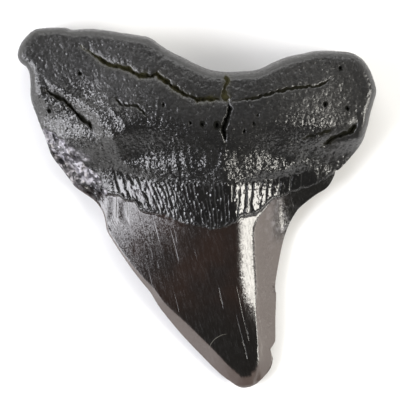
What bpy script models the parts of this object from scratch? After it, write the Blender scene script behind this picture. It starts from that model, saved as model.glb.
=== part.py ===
"""Megalodon tooth, a fossil in one piece: root, bourlette and crown.

The tooth lies on its labial face, with the lingual face up, +Y from the tip towards the root and +Z up.
The origin is on the resting plane, under the middle of the tooth. Lengths are in millimetres, and MM
turns them into metres where the mesh is made.
"""

import bmesh
import bpy
import numpy as np

MM = 0.001
MIDDLE = (0.185, -0.095)  # the middle of the outline below, which lies over the origin

# Driving dimensions
ROOT_EDGE = 6.8  # height of the root's rounded rim above the resting plane
ROOT_SHELF = 14.2  # height of the root's lobes
BOSS_RISE = 5.4  # the lingual boss stands this far above the lobes
CROWN_EDGE = 2.6  # height of the cutting edges
NECK_HEIGHT = 11.8  # height of the crown's crest where it meets the bourlette
ENAMEL_STEP = 0.5  # the bourlette stands this far above the enamel
BEVEL_SLOPE = 0.85  # rise of the faces that run up from the cutting edges
COLUMNS = 84  # faces across the lingual side; the labial side has a third as many
ROWS_TO_CRACK, ROWS_TO_BAND, ROWS_OVER_BAND, ROWS_TO_TIP = 7, 13, 6, 14

# The outline in plan, (x, y), in four stretches that share their end points
ROOT_MARGIN = [
    (-44.5, 38.0), (-42.6, 42.4), (-38.5, 44.8), (-33.0, 44.9), (-28.7, 44.4), (-23.5, 44.5),
    (-13.9, 42.9), (-9.2, 40.8), (-2.8, 37.2), (4.1, 34.2), (10.8, 33.8), (15.3, 34.4),
    (22.7, 37.6), (30.0, 39.1), (38.8, 38.6), (43.0, 35.0), (44.9, 29.7),
]
RIGHT_EDGE = [
    (44.9, 29.7), (44.0, 25.1), (42.7, 19.9), (39.5, 13.6), (35.4, 9.4), (34.5, 7.6), (32.8, 5.0),
    (26.2, 0.2), (23.4, -4.0), (20.9, -12.8), (19.9, -18.1), (19.9, -26.0), (19.8, -33.2),
    (18.7, -35.7), (19.2, -37.8), (17.1, -42.4),
]
TIP = [(17.1, -42.4), (14.8, -44.4), (12.4, -45.2), (10.6, -44.9), (9.0, -43.9)]
LEFT_EDGE = [
    (9.0, -43.9), (5.9, -41.6), (-3.8, -31.6), (-14.0, -18.1), (-22.0, -6.5), (-23.2, -1.5),
    (-24.8, 1.1), (-29.9, 4.7), (-33.8, 10.0), (-36.0, 12.9), (-37.3, 16.4), (-39.5, 22.1),
    (-41.3, 28.0), (-41.3, 31.6), (-42.0, 34.5), (-43.9, 36.4), (-44.5, 38.0),
]

# The bourlette's borders: the enamel's upper edge, and the line where the band fades into the root
ENAMEL_LINE = [
    (-46.0, 14.0), (-24.0, 3.8), (-19.3, 3.1), (-13.3, -0.9), (-6.5, -3.6), (1.0, -5.4),
    (7.3, -4.6), (14.8, -1.1), (19.8, 2.4), (28.5, 5.6), (34.8, 8.9), (46.0, 14.0),
]
BAND_TOP = [
    (-46.0, 15.0), (-21.5, 11.1), (-16.5, 8.9), (-11.5, 7.4), (-4.0, 7.4), (2.3, 7.9),
    (9.0, 6.4), (16.0, 7.4), (23.5, 8.9), (33.5, 11.1), (46.0, 15.0),
]

# A row of the mesh follows the basal crack; on both sides it runs on to the ends of the lobes
CRACK_ROW = [
    (-46.0, 34.0), (-36.0, 38.5), (-27.0, 38.8), (-22.0, 37.0), (-17.0, 33.6), (-12.0, 32.2),
    (-6.0, 28.8), (-1.0, 27.4), (5.0, 26.4), (12.0, 25.8), (18.0, 27.6), (24.0, 29.0),
    (29.0, 30.6), (34.0, 33.0), (40.0, 31.0), (46.0, 24.0),
]

# Crown: the crest's height and its place across the crown, at distances along Y
CREST_Y = [-46.0, -43.0, -38.0, -33.0, -28.0, -20.0, -13.0, -4.0, 6.0]
CREST_HEIGHT = [3.9, 4.5, 5.9, 6.6, 7.3, 8.8, 9.9, NECK_HEIGHT, 13.0]
CREST_X = [12.5, 12.6, 12.4, 12.0, 11.4, 10.2, 9.6, 8.6, 6.0]
CREST_ROLL = [0.1, 0.1, 0.1, 0.2, 0.5, 1.0, 1.0, 1.0, 1.0]  # how far the right flank rolls over

# Cracks and furrows in the root: route, half width and depth
BASAL_CRACK = CRACK_ROW[2:14]
CENTRE_CRACK = [(7.4, 33.0), (7.2, 28.6), (8.4, 25.6), (7.7, 21.9), (7.3, 16.6)]
LEFT_FURROW = [(-38.3, 29.4), (-34.5, 27.6), (-31.5, 25.9), (-29.0, 23.4), (-26.5, 20.9), (-24.8, 18.6)]
RIGHT_FURROW = [(40.3, 21.4), (38.5, 19.4), (34.8, 17.6), (31.5, 15.6)]
FURROWS = [
    (BASAL_CRACK, 0.8, 1.1),
    (CENTRE_CRACK, 0.7, 1.0),
    (LEFT_FURROW, 2.4, 1.6),
    (RIGHT_FURROW, 1.6, 1.5),
]

# Swellings of the root: place, spread along X and Y, and height
SWELLINGS = [
    ((6.0, 18.0), (21.0, 13.0), BOSS_RISE),
    ((-31.0, 34.0), (9.0, 7.0), 1.2),
    ((-33.0, 20.0), (6.0, 5.0), 1.0),
    ((33.0, 29.0), (9.0, 7.0), 0.6),
    ((-6.0, 13.0), (7.0, 5.0), 0.7),
    ((16.5, 13.0), (7.0, 5.0), 0.9),
]
BROKEN_SHOULDER = [(-38.5, 20.0), (-35.0, 14.5), (-31.0, 8.5), (-24.5, 4.0), (-21.5, -2.0)]
SHOULDER_LOSS = 1.3
SHELL_CHIP = ((-25.6, 4.4), 3.0, 0.7)  # centre, radius and depth of the shell-shaped chip
RIDGE_HEIGHT = 0.28
BAND_LEDGE = 0.8  # the root overhangs the right of the band by this much
RIM_INSET = 0.7  # the labial side's rim lies this far inside the outline


def smooth_closed(stretches, per_span=16):
    """Each stretch as a dense polyline on one closed Catmull-Rom curve through all the points."""
    points = np.array([p for stretch in stretches for p in stretch[:-1]])
    t = np.linspace(0, 1, per_span, endpoint=False)[:, None]
    before, after, beyond = (np.roll(points, shift, axis=0) for shift in (1, -1, -2))
    spans = [
        0.5 * (2 * b + (c - a) * t + (2 * a - 5 * b + 4 * c - d) * t**2 + (3 * b - 3 * c + d - a) * t**3)
        for a, b, c, d in zip(before, points, after, beyond)
    ]
    curves = []
    start = 0
    for stretch in stretches:
        count = len(stretch) - 1
        curves.append(np.vstack(spans[start : start + count] + [np.array(stretch[-1:])]))
        start += count
    return curves


def along(curve, share):
    """Points at these shares of a polyline's length."""
    steps = np.linalg.norm(np.diff(curve, axis=0), axis=1)
    run = np.concatenate([[0], np.cumsum(steps)]) / steps.sum()
    return np.stack([np.interp(share, run, curve[:, k]) for k in (0, 1)], axis=-1)


def distance_to(line, x, y):
    """Distance in plan from each point to a polyline."""
    nearest = np.full(x.shape, np.inf)
    for (ax, ay), (bx, by) in zip(line[:-1], line[1:]):
        dx, dy = bx - ax, by - ay
        share = np.clip(((x - ax) * dx + (y - ay) * dy) / (dx * dx + dy * dy), 0, 1)
        nearest = np.minimum(nearest, np.hypot(x - ax - share * dx, y - ay - share * dy))
    return nearest


def smooth(low, high, value):
    """0 below low, 1 above high, and a smooth rise between. low may be the larger."""
    t = np.clip((value - low) / (high - low), 0, 1)
    return t * t * (3 - 2 * t)


def soft_min(a, b, width):
    """The lower of two heights, with the crease between them rounded over this width."""
    return 0.5 * (a + b - np.sqrt((a - b) ** 2 + width**2))


def bump(x, y, centre, spread):
    return np.exp(-(((x - centre[0]) / spread[0]) ** 2) - ((y - centre[1]) / spread[1]) ** 2)


def over_x(line, x):
    """Height in plan of a border that is a function of x."""
    xs, ys = zip(*line)
    return np.interp(x, xs, ys)


def edge_height(y):
    """Height of the rim all round: thick on the root, low on the cutting edges."""
    return ROOT_EDGE + (CROWN_EDGE - ROOT_EDGE) * smooth(22, 2, y)


def root_top(x, y, edge):
    """The root: lobes and boss, rounded down to the rim."""
    cap = ROOT_SHELF + sum(rise * bump(x, y, centre, spread) for centre, spread, rise in SWELLINGS)
    share = np.clip(edge / 11.0, 0, 1)
    return edge_height(y) + (cap - edge_height(y)) * np.sqrt(share * (2 - share))


def crown_top(x, y, edge):
    """The crown: a face that falls away on both sides of its crest, cut by the bevels of the edges."""
    left_of_crest = np.maximum(np.interp(y, CREST_Y, CREST_X) - x, 0)
    right_of_crest = np.maximum(x - np.interp(y, CREST_Y, CREST_X), 0)
    left_fall = 0.1 * left_of_crest + 0.0045 * left_of_crest**2
    right_fall = 0.62 * (right_of_crest - 1.6 * (1 - np.exp(-right_of_crest / 1.6)))
    face = np.interp(y, CREST_Y, CREST_HEIGHT) - left_fall - right_fall * np.interp(y, CREST_Y, CREST_ROLL)
    face = -soft_min(-face, -edge_height(y) - 0.3 * edge, 1.5)
    worn = smooth(-20, -12, y) * smooth(0, -8, x)
    slope = BEVEL_SLOPE * (1 + 1.6 * worn)
    return soft_min(face, edge_height(y) + slope * edge, 0.25)


def lingual_height(x, y, edge, column):
    """Height of the upper, lingual side. edge is the distance in from the outline."""
    below = over_x(ENAMEL_LINE, x) - y
    band_depth = over_x(BAND_TOP, x) - over_x(ENAMEL_LINE, x)
    crown_share = smooth(-1.2 * band_depth - 2, 1.5, below)
    height = (1 - crown_share) * root_top(x, y, edge) + crown_share * crown_top(x, y, edge)
    inside = smooth(0, 2.5, edge)
    height -= ENAMEL_STEP * smooth(-0.3, 0.5, below) * inside
    up_band = -below / band_depth
    in_band = smooth(-0.02, 0.12, up_band) * smooth(1.0, 0.7, up_band)
    ridge = np.where(column % 2 == 0, 1.0, -1.0)
    height += RIDGE_HEIGHT * ridge * in_band * inside * smooth(-24, -20, x) * smooth(35, 28, x)
    for route, half_width, depth in FURROWS:
        gap = distance_to(route, x, y)
        height -= depth * np.exp(-((gap / half_width) ** 2)) * inside
    height -= BAND_LEDGE * smooth(-0.2, 0.2, up_band) * smooth(1.0, 0.8, up_band) * bump(x, y, (15, 5), (12, 9))
    height -= SHOULDER_LOSS * smooth(4.2, 2.4, distance_to(BROKEN_SHOULDER, x, y)) * smooth(0, 1.5, edge)
    centre, radius, depth = SHELL_CHIP
    from_chip = np.hypot(x - centre[0], y - centre[1]) / radius
    height -= depth * np.clip(1 - from_chip**2, 0, 1) * smooth(0, 1, edge)
    return np.maximum(height, labial_height(x, y, edge) + 0.4 * np.minimum(edge, 4.0))


def labial_height(x, y, edge):
    """Height of the lower, labial side: flat where the tooth rests, rising to the rim."""
    root_share = np.clip(edge / 6.5, 0, 1)
    root = 1 - np.sqrt(root_share * (2 - root_share))
    crown = np.clip(1 - edge / 10.0, 0, 1) ** 2
    crown_share = smooth(22, 2, y)
    hollow = 0.7 * bump(x, y, (2.0, 6.0), (17.0, 5.5)) - 0.05
    rise = edge_height(y) * (root * (1 - crown_share) + crown * crown_share)
    return np.maximum(rise + hollow * smooth(0, 4, edge), 0)


def packed(share, crowding):
    """Shares from 0 to 1, crowded towards both ends."""
    return (1 - crowding) * share + crowding * 0.5 * (1 - np.cos(np.pi * share))


class Plan:
    """Maps a square patch, u across and v from root margin to tip, onto the tooth's outline in plan."""

    def __init__(self):
        margin, right, tip, left = smooth_closed([ROOT_MARGIN, RIGHT_EDGE, TIP, LEFT_EDGE])
        self.margin, self.right = margin, right
        self.tip, self.left = tip[::-1], left[::-1]
        self.outline = np.vstack([margin, right[1:], tip[1:], left[1:]])

    def crossing(self, u, line):
        """For each u, the v at which the patch crosses a border that is a function of x."""
        v = np.linspace(0, 1, 600)
        across, down = np.meshgrid(u, v, indexing="ij")
        x, y = np.moveaxis(self.points(across, down), -1, 0)
        below = over_x(line, x) - y
        first = np.argmax(below > 0, axis=1)
        columns = np.arange(len(u))
        before, after = below[columns, first - 1], below[columns, first]
        return v[first - 1] - before / (after - before) * (v[1] - v[0])

    def rows(self, u):
        """For each u, v at every row of the mesh; rows follow the crack and both borders of the band."""
        crack, band, enamel = (self.crossing(u, line)[:, None] for line in (CRACK_ROW, BAND_TOP, ENAMEL_LINE))
        to_crack = np.linspace(0, 1, ROWS_TO_CRACK + 1)[:-1] ** 1.3
        to_band = packed(np.linspace(0, 1, ROWS_TO_BAND + 1)[:-1], 0.4)
        over_band = np.linspace(0, 1, ROWS_OVER_BAND + 1)[:-1]
        to_tip = np.concatenate([[0], 0.012 + 0.988 * np.linspace(0, 1, ROWS_TO_TIP) ** 1.25])
        stages = [
            crack * to_crack,
            crack + (band - crack) * to_band,
            band + (enamel - band) * over_band,
            enamel + (1 - enamel) * to_tip,
        ]
        return np.hstack(stages)

    def points(self, u, v):
        """A Coons patch between the four stretches of the outline."""
        top, bottom = along(self.margin, u), along(self.tip, u)
        left, right = along(self.left, v), along(self.right, v)
        u, v = u[..., None], v[..., None]
        ends_top = (1 - u) * self.margin[0] + u * self.margin[-1]
        ends_bottom = (1 - u) * self.tip[0] + u * self.tip[-1]
        return (
            (1 - v) * (top - ends_top) + v * (bottom - ends_bottom) + (1 - u) * left + u * right
        )


def grid_side(bm, columns, rows):
    """A grid primitive, with its vertices from the root margin down, and the rim around it."""
    made = bmesh.ops.create_grid(bm, x_segments=columns, y_segments=rows, size=1.0)
    verts = sorted(made["verts"], key=lambda v: (-round(v.co.y, 4), v.co.x))
    rim = {e for v in verts for e in v.link_edges if e.is_boundary}
    return verts, list(rim)


def place(verts, x, y, heights):
    positions = np.stack([x - MIDDLE[0], y - MIDDLE[1], heights], axis=-1).reshape(-1, 3)
    for vert, position in zip(verts, positions * MM):
        vert.co = position


def tooth_mesh():
    """The lingual side and a coarser labial side, joined by a strip along the rim."""
    plan = Plan()
    across = packed(np.linspace(0, 1, COLUMNS + 1), 0.35)
    v = plan.rows(across).T
    u = np.broadcast_to(across, v.shape)
    bm = bmesh.new()
    upper, upper_rim = grid_side(bm, COLUMNS, len(v) - 1)
    x, y = np.moveaxis(plan.points(u, v), -1, 0)
    column = np.broadcast_to(np.arange(COLUMNS + 1), v.shape)
    place(upper, x, y, lingual_height(x, y, distance_to(plan.outline, x, y), column))
    lower, lower_rim = grid_side(bm, COLUMNS // 3, len(v) - 1)
    u, v = u[:, ::3], v[:, ::3]
    u = u + (1 - 2 * u) * RIM_INSET / (x[:, -1:] - x[:, :1])
    v = v + (1 - 2 * v) * RIM_INSET / (y[:1, ::3] - y[-1:, ::3])
    x, y = np.moveaxis(plan.points(u, v), -1, 0)
    place(lower, x, y, labial_height(x, y, distance_to(plan.outline, x, y)))
    bmesh.ops.bridge_loops(bm, edges=upper_rim + lower_rim)
    bmesh.ops.recalc_face_normals(bm, faces=bm.faces)
    mesh = bpy.data.meshes.new("tooth")
    bm.to_mesh(mesh)
    bm.free()
    return mesh


def fossil_black():
    """Black fossil dentine and enamel, worn to a satin gloss."""
    material = bpy.data.materials.new("fossil_black")
    material.use_nodes = True
    shader = material.node_tree.nodes["Principled BSDF"]
    shader.inputs["Base Color"].default_value = (0.045, 0.043, 0.042, 1)
    shader.inputs["Roughness"].default_value = 0.4
    shader.inputs["Metallic"].default_value = 0.0
    return material


def main():
    for obj in list(bpy.data.objects):
        bpy.data.objects.remove(obj)
    collection = bpy.data.collections.new("megalodon_tooth")
    bpy.context.scene.collection.children.link(collection)
    tooth = bpy.data.objects.new("tooth", tooth_mesh())
    tooth.data.materials.append(fossil_black())
    tooth.data.shade_smooth()
    collection.objects.link(tooth)


main()
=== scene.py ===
"""A fossil megalodon tooth, lying lingual side up on a pale table in soft studio light.

Shapes are worked out in millimetres, with +Y from the crown's tip towards the root and +Z up; MM and
MIDDLE carry them into the model's frame.
"""

import math

import bpy
import numpy as np
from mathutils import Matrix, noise


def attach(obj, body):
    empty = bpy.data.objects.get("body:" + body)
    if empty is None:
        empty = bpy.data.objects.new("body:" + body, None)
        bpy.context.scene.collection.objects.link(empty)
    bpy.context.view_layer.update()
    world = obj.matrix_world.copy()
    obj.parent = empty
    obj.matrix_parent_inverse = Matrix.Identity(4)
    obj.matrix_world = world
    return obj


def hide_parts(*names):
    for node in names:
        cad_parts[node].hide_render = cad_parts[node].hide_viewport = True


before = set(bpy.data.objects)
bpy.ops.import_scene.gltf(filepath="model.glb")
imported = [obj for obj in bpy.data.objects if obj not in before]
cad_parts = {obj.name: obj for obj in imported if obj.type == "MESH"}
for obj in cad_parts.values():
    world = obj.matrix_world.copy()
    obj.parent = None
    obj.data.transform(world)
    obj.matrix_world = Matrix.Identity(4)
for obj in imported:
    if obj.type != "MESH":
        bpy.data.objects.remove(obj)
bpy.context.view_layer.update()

MM = 0.001
MIDDLE = (0.185, -0.095)  # the middle of the outline below, which lies over the origin

# Faces of the mesh; the labial side has half as many each way
COLUMNS = 392
ROWS_TO_CRACK, ROWS_TO_BAND, ROWS_OVER_BAND, ROWS_TO_TIP = 34, 66, 38, 58
RIM_INSET = 0.35

# Sizes of the tooth: its rim, its root, the waist above the band, and its crown
ROOT_EDGE, CROWN_EDGE = 6.8, 2.6
BLUNT_RISE = 2.4
ROOT_SHELF = 15.0
ROOT_ROUNDING, FLANK_ROUNDING = 3.2, 16.4
BOSS_RISE = 4.1
BOSS_PLACE = (6.0, 24.0)
BOSS_LEFT_SPREAD, BOSS_RIGHT_SPREAD, BOSS_SPREAD = 27.0, 25.5, 21.0
LOBE_DROP = 2.6
WAIST_DROP, WAIST_SIDE_DROP = 2.7, 2.7
WAIST_LOBE_RISE = 2.0
STREAK_DEPTH = 0.08
BAND_LEDGE = 0.2
NECK_HEIGHT = 12.2
ENAMEL_STEP, ENAMEL_LIP = 0.5, 0.14
STRIP_SLOPE, BEVEL_SLOPE, LEFT_BEVEL_SLOPE = 0.58, 0.85, 0.6
CREASE_SOFTNESS = 0.12

# Sizes of its damage, and how far the routes of cracks and chips are shaken sideways
SHOULDER_LOSS = 0.8
LIP_RISE = 0.45
PORE_DEPTH = 1.0
FLAKE_DEPTH = 0.16
SHAKE, FINE_SHAKE = 0.28, 0.14

# Sizes of the labial side: how far in from the rim its rise reaches, and how hollow and uneven it is
LABIAL_ROUNDING, LABIAL_CROWN_REACH = 6.5, 10.0
LABIAL_HOLLOW = 0.7
LABIAL_UNEVENNESS = 0.14

# The outline in plan, (x, y), in four stretches that share their end points
ROOT_MARGIN = [
    (-44.5, 38.0), (-43.9, 40.4), (-42.6, 42.4), (-40.6, 44.2), (-38.5, 44.8), (-33.0, 44.9),
    (-30.8, 44.4), (-26.7, 44.6), (-23.5, 44.4), (-20.3, 43.9), (-13.9, 42.9), (-11.4, 42.3),
    (-9.2, 40.8), (-6.6, 39.1), (-2.8, 37.2), (0.8, 35.4), (4.1, 34.2), (7.6, 33.8), (10.8, 33.9),
    (15.3, 34.4), (18.8, 36.0), (22.7, 37.6), (26.9, 38.5), (30.0, 39.1), (34.6, 39.1),
    (38.8, 38.6), (41.3, 37.1), (43.0, 35.0), (44.1, 32.5), (44.9, 29.7),
]
RIGHT_EDGE = [
    (44.9, 29.7), (44.8, 27.9), (44.0, 25.1), (43.4, 23.0), (42.7, 19.9), (41.5, 16.4), (39.5, 13.6),
    (36.0, 9.7), (34.9, 9.2), (34.5, 7.8), (32.8, 5.0), (29.7, 3.0), (26.2, 0.2), (25.1, -1.1),
    (23.4, -4.0), (22.0, -7.9), (20.9, -12.8), (20.0, -18.1), (19.8, -20.9), (20.1, -21.8),
    (19.9, -28.1), (19.9, -33.2), (19.5, -34.3), (18.7, -35.2), (18.8, -36.3), (19.3, -37.8),
    (18.7, -40.3), (17.1, -42.4),
]
TIP = [(17.1, -42.4), (14.8, -44.4), (12.4, -45.2), (10.6, -44.9), (9.0, -43.9)]
LEFT_EDGE = [
    (9.0, -43.9), (5.9, -41.6), (1.3, -37.0), (-3.8, -31.6), (-8.9, -25.3), (-11.5, -21.1),
    (-14.0, -18.1), (-17.8, -12.9), (-21.9, -6.6), (-22.4, -5.2), (-23.2, -1.5), (-24.8, 1.1),
    (-26.4, 2.5), (-29.9, 4.9), (-31.2, 6.5), (-33.8, 10.0), (-36.0, 12.9), (-37.3, 16.4),
    (-39.5, 22.1), (-41.2, 27.0), (-41.3, 30.9), (-41.5, 33.2), (-42.3, 34.9), (-43.9, 36.4),
    (-44.5, 38.0),
]

# Borders, as places (x, y) along them: the enamel's upper edge, the line where the bourlette's band
# fades into the root, the long crack of the root, and the enamel's edge on the labial side
ENAMEL_LINE = [
    (-46.0, 14.0), (-24.0, 3.8), (-19.3, 3.1), (-17.8, 2.0), (-15.5, 1.8), (-14.0, -0.6),
    (-12.3, -1.1), (-9.5, -1.6), (-7.8, -1.9), (-4.0, -3.6), (-0.3, -4.6), (3.5, -5.4),
    (6.5, -5.1), (9.8, -3.6), (11.0, -2.4), (13.0, -1.9), (15.0, -1.6), (16.8, -0.1), (17.8, 1.1),
    (19.0, 2.1), (21.0, 2.6), (22.8, 3.6), (24.8, 4.4), (27.3, 5.1), (29.8, 5.9), (32.3, 7.4),
    (34.3, 8.4), (46.0, 14.0),
]
BAND_TOP = [
    (-46.0, 15.0), (-21.5, 10.4), (-18.5, 9.2), (-15.3, 8.2), (-11.5, 7.2), (-7.8, 6.8), (-4.0, 6.8),
    (2.3, 6.6), (6.5, 6.1), (9.8, 6.2), (14.8, 6.9), (19.8, 7.4), (26.0, 8.9), (33.5, 11.4), (46.0, 15.5),
]
CRACK_ROW = [
    (-46.0, 34.0), (-36.0, 38.5), (-27.5, 39.2), (-23.3, 36.4), (-19.0, 34.9), (-14.8, 32.9),
    (-9.5, 32.7), (-6.5, 30.6), (-2.0, 27.6), (0.3, 26.7), (4.8, 26.8), (8.0, 26.5), (14.0, 26.9),
    (19.8, 28.6), (26.0, 29.8), (30.5, 30.3), (34.3, 32.2), (40.0, 31.0), (46.0, 24.0),
]
LABIAL_ENAMEL_LINE = [
    (-46, 16), (-36, 14.5), (-19, 14.4), (1, 10.6), (21, 15.6), (37, 11.9), (46, 12),
]

# Crown: the crest's height and its place across the crown, how far the right flank rolls over, how
# far the left one falls, the crease where the right flank turns into its bevel, and the left
# bevel's width
CREST_Y = [-46.0, -43.0, -38.0, -33.0, -28.0, -24.0, -20.0, -13.0, -4.0, 8.0, 20.0]
CREST_HEIGHT = [3.9, 4.5, 5.7, 6.7, 7.6, 8.4, 9.2, 10.5, NECK_HEIGHT, 14.3, 18.2]
CREST_X = [13.0, 13.0, 13.2, 13.2, 11.6, 10.5, 9.8, 9.4, 9.2, 7.0, 5.0]
CREST_ROLL = [0.1, 0.1, 0.15, 0.25, 0.55, 0.9, 1.0, 1.0, 1.0, 0.9, 0.5]
LEFT_FALL = [0.6, 0.6, 0.62, 0.65, 0.66, 0.66, 0.66, 0.7, 0.98, 1.24, 0.6]
CREASE_X = [13.8, 14.8, 15.7, 15.4, 15.0, 14.8, 15.1, 14.6, 14.3, 24.0, 32.0]
BEVEL_WIDTH = [1.2, 2.6, 3.2, 3.2, 2.8, 1.6, 1.3, 0.5, 0.3, 0.3, 0.3]

# Swellings of the root: place, spread along X and Y, and height
SWELLINGS = [
    ((2.5, 14.0), (9.0, 6.0), 0.6),
    ((-31.0, 34.0), (9.0, 7.0), 0.5),
    ((-22.0, 23.0), (3.6, 6.0), 0.9),
    ((-15.6, 20.0), (2.0, 5.0), 0.5),
    ((33.0, 29.0), (9.0, 7.0), 0.3),
    ((-4.4, 11.0), (3.2, 4.8), 0.1),
    ((7.0, 10.0), (1.8, 4.5), 0.5),
    ((15.0, 12.4), (3.0, 3.4), 0.18),
    ((-26.0, 20.0), (5.0, 5.0), 0.45),
    ((23.0, 14.8), (2.6, 2.4), 0.7),
]

# Cracks in the root: route, half width, depth, and the share of it that olive dirt fills
CRACKS = {
    "basal_left": (
        [(-28.5, 40.0), (-27.5, 39.4), (-26.0, 38.1), (-23.3, 36.4), (-21.0, 35.4), (-19.0, 34.9),
         (-16.5, 34.1), (-14.8, 32.9), (-11.5, 32.5), (-9.5, 32.9), (-8.3, 31.9), (-6.5, 30.6),
         (-4.5, 29.1), (-2.0, 27.6), (0.3, 26.6), (4.8, 26.9), (8.0, 26.4)],
        0.33, 1.1, 0.8,
    ),
    "basal_right": (
        [(8.0, 26.4), (11.0, 26.4), (14.0, 26.9), (16.5, 27.6), (18.0, 28.1), (19.8, 28.6),
         (22.0, 29.1), (24.0, 29.6), (26.0, 29.8), (28.5, 29.8), (30.5, 30.3), (32.0, 30.9),
         (33.0, 31.6), (34.3, 32.4)],
        0.22, 0.6, 0.2,
    ),
    "centre_upper": ([(7.3, 33.4), (7.5, 31.1), (7.0, 29.9), (7.0, 27.6), (8.0, 26.1)], 0.36, 0.5, 0.9),
    "centre_lower": (
        [(8.0, 26.1), (8.3, 24.4), (8.0, 22.6), (7.3, 21.6), (7.0, 20.1), (7.0, 18.1), (7.3, 16.2)],
        0.38, 1.2, 0.0,
    ),
    "left_lobe": (
        [(-38.3, 29.7), (-36.5, 28.6), (-34.8, 27.6), (-32.8, 26.6), (-31.3, 25.4), (-30.0, 23.9),
         (-29.0, 22.6), (-28.0, 21.9), (-26.5, 20.6), (-25.1, 18.9)],
        0.28, 1.0, 0.1,
    ),
    "left_lobe_inner": (
        [(-20.8, 27.6), (-18.5, 25.4), (-16.4, 25.2), (-14.8, 25.1), (-11.5, 22.4)],
        0.22, 0.4, 0.1,
    ),
    "right_lobe": (
        [(31.2, 15.2), (33.5, 16.9), (35.5, 17.9), (37.3, 18.4), (38.8, 19.1), (40.1, 21.1)],
        0.38, 1.0, 0.2,
    ),
    "right_lobe_upper": ([(26.4, 17.2), (29.0, 17.9), (31.5, 18.6), (34.0, 19.4)], 0.24, 0.5, 0.2),
}
# Broad furrows round the cracks of the lobes: route's name, half width and depth
FURROWS = [("basal_left", 1.0, 0.25), ("left_lobe", 1.5, 0.5), ("right_lobe", 1.3, 0.5)]

# Low ridges beside the left lobe's furrow: route, half width and rise
RIDGES = [
    ([(-38.0, 31.2), (-33.5, 29.4), (-29.8, 27.2), (-25.8, 24.4), (-23.8, 21.4), (-23.6, 18.2)], 1.2, 0.4),
    ([(-21.8, 25.4), (-19.2, 23.4), (-17.8, 20.4), (-17.7, 16.6)], 1.2, 0.35),
    ([(-38.6, 25.2), (-34.6, 22.6), (-31.0, 19.4)], 1.6, 0.3),
]

# Pores of the root: centre and radius
PORES = [
    ((1.5, 20.6), 0.45), ((5.2, 20.3), 0.62), ((12.0, 18.9), 0.32), ((15.3, 22.9), 0.26),
    ((32.0, 25.6), 0.42), ((37.5, 24.6), 0.36), ((35.8, 34.4), 0.34), ((-28.8, 33.1), 0.32),
    ((-8.0, 25.4), 0.3), ((14.3, 20.6), 0.3), ((-1.4, 20.9), 0.28), ((-36.5, 24.0), 0.35),
]

# The broken left shoulder: its route, the lip along its top, and the small flat faces it is broken
# to, as the corners they fill and the spacing, tilt and seed of each size of them. Then the chips
# in it, as centre, radius and depth, and the right edges of the flakes lost from the enamel
BROKEN_SHOULDER = [(-37.5, 15.5), (-34.5, 12.5), (-31.0, 8.5), (-26.5, 4.5)]
SHOULDER_LIP = [(-35.6, 17.6), (-33.0, 15.6), (-30.5, 13.8), (-27.6, 12.2)]
SHOULDER_CORNERS = ((-42, -6), (-16, 24))
SHOULDER_CHUNKS = [(2.2, 0.22, 11), (0.9, 0.35, 12)]
SHELL_CHIPS = [((-25.3, 3.9), 2.1, 0.75), ((-28.2, 4.6), 1.3, 0.5)]
FLAKE_EDGES = [[(-19.8, 2.9), (-20.0, -2.6), (-21.6, -5.6)], [(-17.3, 1.8), (-17.0, -3.6)]]

# A dust fibre stuck on the crown: the middle and radius of its arc, and how far off it fades
DUST_BEND = (8.0 * MM, -36.7 * MM)
DUST_RADIUS = 5.2 * MM
FIBRE_FADE = (0.1 * MM, 0.03 * MM)

# Grooves of the band counted along it: places along X, the count of grooves there, and how far the
# grooves lean. They are shallow in the band's middle, up to these distances on both sides of it
GROOVE_X = [-24.0, -20.0, -11.0, 9.0, 21.0, 36.0]
GROOVE_COUNT = [-2.0, 0.0, 5.0, 23.0, 30.0, 36.0]
GROOVE_LEAN = [(-18, 0.4), (-8, 0.4), (2, 0.18), (10, 0.0), (20, -0.1), (34, 0.1)]
BAND_MIDDLE = 1.0 * MM
SHALLOW_REACH = (5 * MM, 11 * MM)

# The fine relief's inputs
RELIEF_SIZES = {
    "Groove depth": 0.42 * MM,
    "Groove length": 1.2 * MM,
    "Groove wander": 1.8 * MM,
    "Grain size": 1.6 * MM,
    "Grain depth": 0.2 * MM,
    "Pit spacing": 1.5 * MM,
    "Pit depth": 0.12 * MM,
    "Seed": 3.0,
}

# Colours. Pairs are the two ends that an uneven colour varies between
ROOT_BLACKS = (0.0035, 0.0034, 0.0034, 1), (0.007, 0.0067, 0.0063, 1)
ENAMEL_BROWNS = (0.0085, 0.006, 0.0052, 1), (0.014, 0.008, 0.006, 1)
TIP_BLACK = (0.0055, 0.0048, 0.0042, 1)
SHOULDER_BLACK = (0.0055, 0.0052, 0.0045, 1)
BEVEL_BROWN = (0.058, 0.042, 0.036, 1)
# Worn grey of the breaks; the pale lavender end is partly a painted highlight
BREAK_GREYS_AND_HIGHLIGHTS = (0.05, 0.047, 0.053, 1), (0.60, 0.58, 0.63, 1)
DIRT_OLIVES = (0.012, 0.010, 0.004, 1), (0.07, 0.065, 0.022, 1)
FIBRE_PALE = (0.30, 0.29, 0.25, 1)
# Painted shade for cracks, pores and the band's grooves
CAVITY_SHADE_BLACK = (0.003, 0.003, 0.002, 1)
TABLE_WHITE = (0.87, 0.87, 0.87, 1)
ROOM_WHITE = (1.0, 0.985, 0.96, 1)

# Grain of the finish: sizes in metres of its sand and of the chips on breaks, its pits per metre, and
# the turn that lays the crown's scratches along it
SAND_SIZE, CHIP_SIZE = 0.00032, 0.0011
PITS_PER_METRE = 900.0
CROWN_LEAN = math.radians(-13)

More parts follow.
